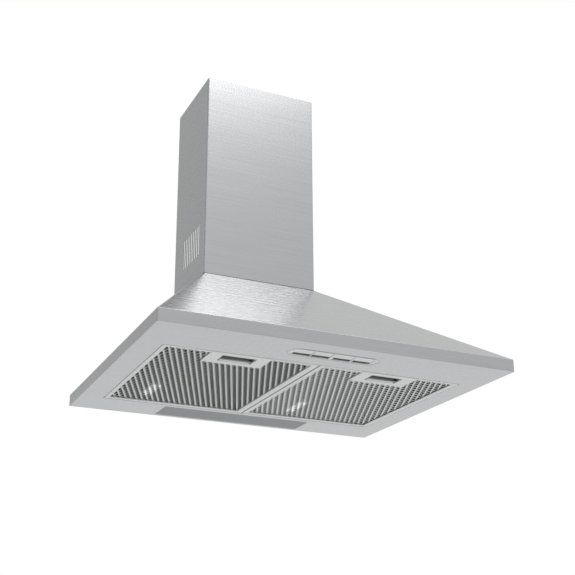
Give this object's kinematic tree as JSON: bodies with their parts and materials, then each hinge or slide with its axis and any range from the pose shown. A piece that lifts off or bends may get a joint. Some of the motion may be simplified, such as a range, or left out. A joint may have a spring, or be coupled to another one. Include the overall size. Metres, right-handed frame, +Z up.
{
  "type": "chimney range hood",
  "caption": "Wall-mounted pyramid range hood in brushed steel with telescopic chimney covers, mesh grease filters, keys, rear lamp strip and centrifugal blower.",
  "frame": {"origin": "on the wall plane, in the middle of the hood's lower rear edge", "axes": "+X to the right seen from the front, +Y into the wall, +Z up"},
  "size_m": [0.6, 0.5, 0.63],
  "materials": {
    "brushed_stainless": "brushed",
    "zinc_sheet": "dull zinc",
    "steel_screws": "bright zinc",
    "filter_aluminium": "satin",
    "light_grey_plastic": "satin",
    "frosted_cover": "frosted",
    "dark_plastic": "matte",
    "white_plastic": "matte",
    "led_board": "matte",
    "motor_steel": "satin",
    "cable_sheath": "matte"
  },
  "bodies": {
    "hood": {"canopy_top": "brushed_stainless", "canopy_front": "brushed_stainless", "canopy_side_left": "brushed_stainless", "canopy_side_right": "brushed_stainless", "chimney_lower": "brushed_stainless", "underside_panel": "brushed_stainless", "filter_rail": "brushed_stainless", "rear_panel": "zinc_sheet", "chimney_seat": "zinc_sheet", "wall_hanger_left": "zinc_sheet", "wall_hanger_right": "zinc_sheet", "blower_plate": "zinc_sheet", "lamp_tray": "zinc_sheet", "motor_bracket": "zinc_sheet", "damper_pin": "zinc_sheet", "rear_panel_screws": "steel_screws", "chimney_screws": "steel_screws", "blower_screws": "steel_screws", "motor_screws": "steel_screws", "control_bezel": "light_grey_plastic", "blower_housing_left": "dark_plastic", "blower_housing_right": "dark_plastic", "inlet_ring_left": "dark_plastic", "inlet_ring_right": "dark_plastic", "outlet_collar": "dark_plastic", "switch_block": "dark_plastic", "mains_gland": "dark_plastic", "terminal_box": "white_plastic", "terminal_lid": "white_plastic", "led_driver": "white_plastic", "run_capacitor": "white_plastic", "led_modules": "led_board", "fan_motor": "motor_steel", "motor_cable": "cable_sheath", "switch_cable": "cable_sheath", "lamp_cable": "cable_sheath"},
    "chimney_upper": {"chimney_upper": "brushed_stainless", "chimney_wall_bracket": "zinc_sheet", "bracket_screws": "steel_screws"},
    "filter_left": {"filter_frame_left": "filter_aluminium", "filter_mesh_left": "filter_aluminium", "filter_layers_left": "filter_aluminium", "filter_handle_left": "light_grey_plastic"},
    "filter_right": {"filter_frame_right": "filter_aluminium", "filter_mesh_right": "filter_aluminium", "filter_layers_right": "filter_aluminium", "filter_handle_right": "light_grey_plastic"},
    "latch_left": {"filter_latch_left": "light_grey_plastic"},
    "latch_right": {"filter_latch_right": "light_grey_plastic"},
    "key_light": {"key_light": "light_grey_plastic"},
    "key_speed_1": {"key_speed_1": "light_grey_plastic"},
    "key_speed_2": {"key_speed_2": "light_grey_plastic"},
    "key_speed_3": {"key_speed_3": "light_grey_plastic"},
    "lamp_cover": {"lamp_cover": "frosted_cover"},
    "rotor": {"wheel_disc": "dark_plastic", "wheel_rings": "dark_plastic", "wheel_blades": "dark_plastic", "motor_shaft": "motor_steel"},
    "damper_front": {"damper_flap_front": "dark_plastic"},
    "damper_rear": {"damper_flap_rear": "dark_plastic"}
  },
  "joints": [
    {"name": "chimney_extend", "type": "slide", "parent": "hood", "child": "chimney_upper", "axis": [0, 0, 1], "range_m": [0, 0.25]},
    {"name": "filter_left_swing", "type": "hinge", "parent": "hood", "child": "filter_left", "pos_m": [-0.12975, -0.077, 0.0015], "axis": [1, 0, 0], "range_deg": [0, 60]},
    {"name": "latch_left_slide", "type": "slide", "parent": "filter_left", "child": "latch_left", "axis": [0, -1, 0], "range_m": [0, 0.006]},
    {"name": "filter_right_swing", "type": "hinge", "parent": "hood", "child": "filter_right", "pos_m": [0.12975, -0.077, 0.0015], "axis": [1, 0, 0], "range_deg": [0, 60]},
    {"name": "latch_right_slide", "type": "slide", "parent": "filter_right", "child": "latch_right", "axis": [0, -1, 0], "range_m": [0, 0.006]},
    {"name": "key_light_press", "type": "slide", "parent": "hood", "child": "key_light", "axis": [0, 0, 1], "range_m": [0, 0.003], "stiffness_N_per_m": 300, "springref_m": -0.001},
    {"name": "key_speed_1_press", "type": "slide", "parent": "hood", "child": "key_speed_1", "axis": [0, 0, 1], "range_m": [0, 0.003], "stiffness_N_per_m": 300, "springref_m": -0.001},
    {"name": "key_speed_2_press", "type": "slide", "parent": "hood", "child": "key_speed_2", "axis": [0, 0, 1], "range_m": [0, 0.003], "stiffness_N_per_m": 300, "springref_m": -0.001},
    {"name": "key_speed_3_press", "type": "slide", "parent": "hood", "child": "key_speed_3", "axis": [0, 0, 1], "range_m": [0, 0.003], "stiffness_N_per_m": 300, "springref_m": -0.001},
    {"name": "lamp_cover_swing", "type": "hinge", "parent": "hood", "child": "lamp_cover", "pos_m": [0, -0.0125, 0.004], "axis": [1, 0, 0], "range_deg": [0, 75]},
    {"name": "fan_spin", "type": "hinge", "parent": "hood", "child": "rotor", "pos_m": [0, -0.108, 0.122], "axis": [1, 0, 0], "continuous": true},
    {"name": "damper_front_swing", "type": "hinge", "parent": "hood", "child": "damper_front", "pos_m": [0, -0.0825, 0.24], "axis": [-1, 0, 0], "range_deg": [0, 70]},
    {"name": "damper_rear_swing", "type": "hinge", "parent": "hood", "child": "damper_rear", "pos_m": [0, -0.0825, 0.24], "axis": [1, 0, 0], "range_deg": [0, 70]}
  ]
}
